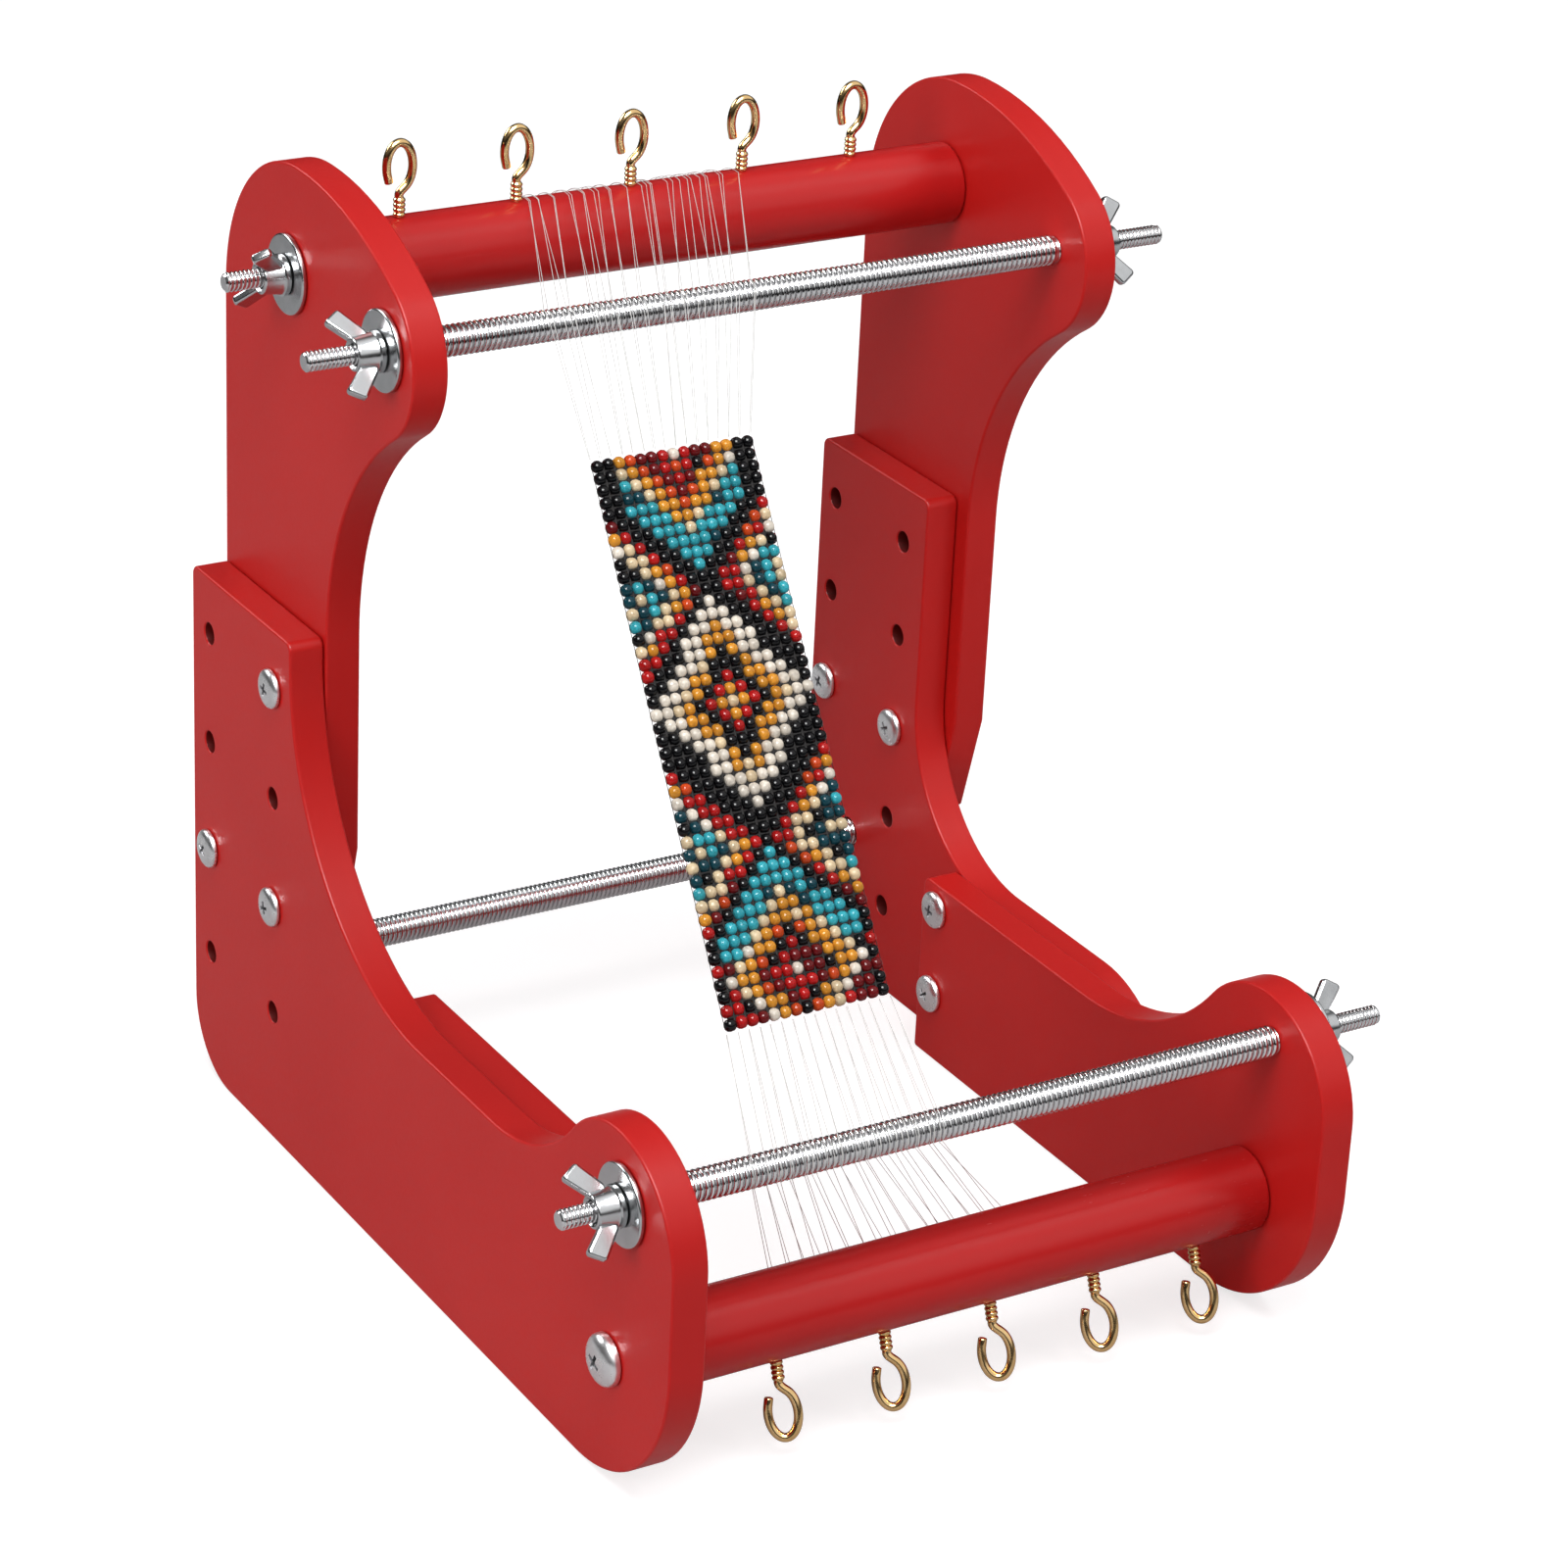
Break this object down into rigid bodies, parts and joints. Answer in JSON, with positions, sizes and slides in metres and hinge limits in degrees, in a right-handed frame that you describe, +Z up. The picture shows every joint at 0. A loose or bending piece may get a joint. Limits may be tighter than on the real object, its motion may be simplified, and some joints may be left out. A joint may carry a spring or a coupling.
{
  "type": "bead loom",
  "caption": "Standing bead loom: two painted wooden side frames, hooked dowels and threaded rods that hold warp threads, with a strip of beadwork in progress.",
  "frame": {"origin": "on the floor, under the middle of the loom's bounding box", "axes": "+X along the dowels to the right as the weaver sees it, +Y to the back, +Z up"},
  "size_m": [0.2926, 0.3034, 0.3115],
  "materials": {
    "red_paint": "satin paint",
    "zinc_plate": "bright zinc plate",
    "brass": "polished",
    "glass_beads": "opaque glossy glass",
    "thread": "fine twisted thread"
  },
  "bodies": {
    "frame": {"left_base_board": "red_paint", "left_foot_doubler": "red_paint", "left_upper_arm": "red_paint", "right_base_board": "red_paint", "right_foot_board": "red_paint", "right_upper_arm": "red_paint", "upper_threaded_rod": "zinc_plate", "lower_threaded_rod": "zinc_plate", "rear_threaded_rod": "zinc_plate", "upper_rod_left_washer": "zinc_plate", "upper_rod_right_washer": "zinc_plate", "lower_rod_left_washer": "zinc_plate", "lower_rod_right_washer": "zinc_plate", "upper_dowel_washer": "zinc_plate", "left_arm_screw_1": "zinc_plate", "left_arm_screw_2": "zinc_plate", "left_arm_screw_3": "zinc_plate", "right_arm_screw_1": "zinc_plate", "right_arm_screw_2": "zinc_plate", "foot_board_screw_1": "zinc_plate", "foot_board_screw_2": "zinc_plate", "doubler_screw_1": "zinc_plate", "doubler_screw_2": "zinc_plate", "beadwork_strip": "glass_beads", "upper_warp_threads": "thread", "lower_warp_threads": "thread"},
    "upper_dowel_assembly": {"upper_dowel": "red_paint", "upper_hook_1": "brass", "upper_hook_2": "brass", "upper_hook_3": "brass", "upper_hook_4": "brass", "upper_hook_5": "brass", "upper_dowel_stud": "zinc_plate", "upper_dowel_screw": "zinc_plate"},
    "lower_dowel_assembly": {"lower_dowel": "red_paint", "lower_hook_1": "brass", "lower_hook_2": "brass", "lower_hook_3": "brass", "lower_hook_4": "brass", "lower_hook_5": "brass", "lower_dowel_screw_left": "zinc_plate", "lower_dowel_screw_right": "zinc_plate"},
    "upper_rod_left_nut": {"upper_rod_left_wing_nut": "zinc_plate"},
    "upper_rod_right_nut": {"upper_rod_right_wing_nut": "zinc_plate"},
    "lower_rod_left_nut": {"lower_rod_left_wing_nut": "zinc_plate"},
    "lower_rod_right_nut": {"lower_rod_right_wing_nut": "zinc_plate"},
    "upper_dowel_nut": {"upper_dowel_wing_nut": "zinc_plate"}
  },
  "joints": [
    {"name": "upper_dowel_turn", "type": "hinge", "parent": "frame", "child": "upper_dowel_assembly", "pos_m": [-0.0035, 0.10675, 0.275], "axis": [1, 0, 0], "range_deg": [-270, 10]},
    {"name": "lower_dowel_turn", "type": "hinge", "parent": "frame", "child": "lower_dowel_assembly", "pos_m": [-0.0035, -0.11925, 0.039], "axis": [1, 0, 0], "range_deg": [-130, 135]},
    {"name": "upper_rod_left_nut_turn", "type": "hinge", "parent": "frame", "child": "upper_rod_left_nut", "pos_m": [-0.1172, 0.04525, 0.272], "axis": [1, 0, 0], "continuous": true},
    {"name": "upper_rod_right_nut_turn", "type": "hinge", "parent": "frame", "child": "upper_rod_right_nut", "pos_m": [0.1215, 0.04525, 0.272], "axis": [1, 0, 0], "continuous": true},
    {"name": "lower_rod_left_nut_turn", "type": "hinge", "parent": "frame", "child": "lower_rod_left_nut", "pos_m": [-0.1285, -0.12475, 0.09], "axis": [1, 0, 0], "continuous": true},
    {"name": "lower_rod_right_nut_turn", "type": "hinge", "parent": "frame", "child": "lower_rod_right_nut", "pos_m": [0.0989, -0.12475, 0.09], "axis": [1, 0, 0], "continuous": true},
    {"name": "upper_dowel_nut_turn", "type": "hinge", "parent": "upper_dowel_assembly", "child": "upper_dowel_nut", "pos_m": [-0.1172, 0.10675, 0.275], "axis": [1, 0, 0], "continuous": true}
  ]
}
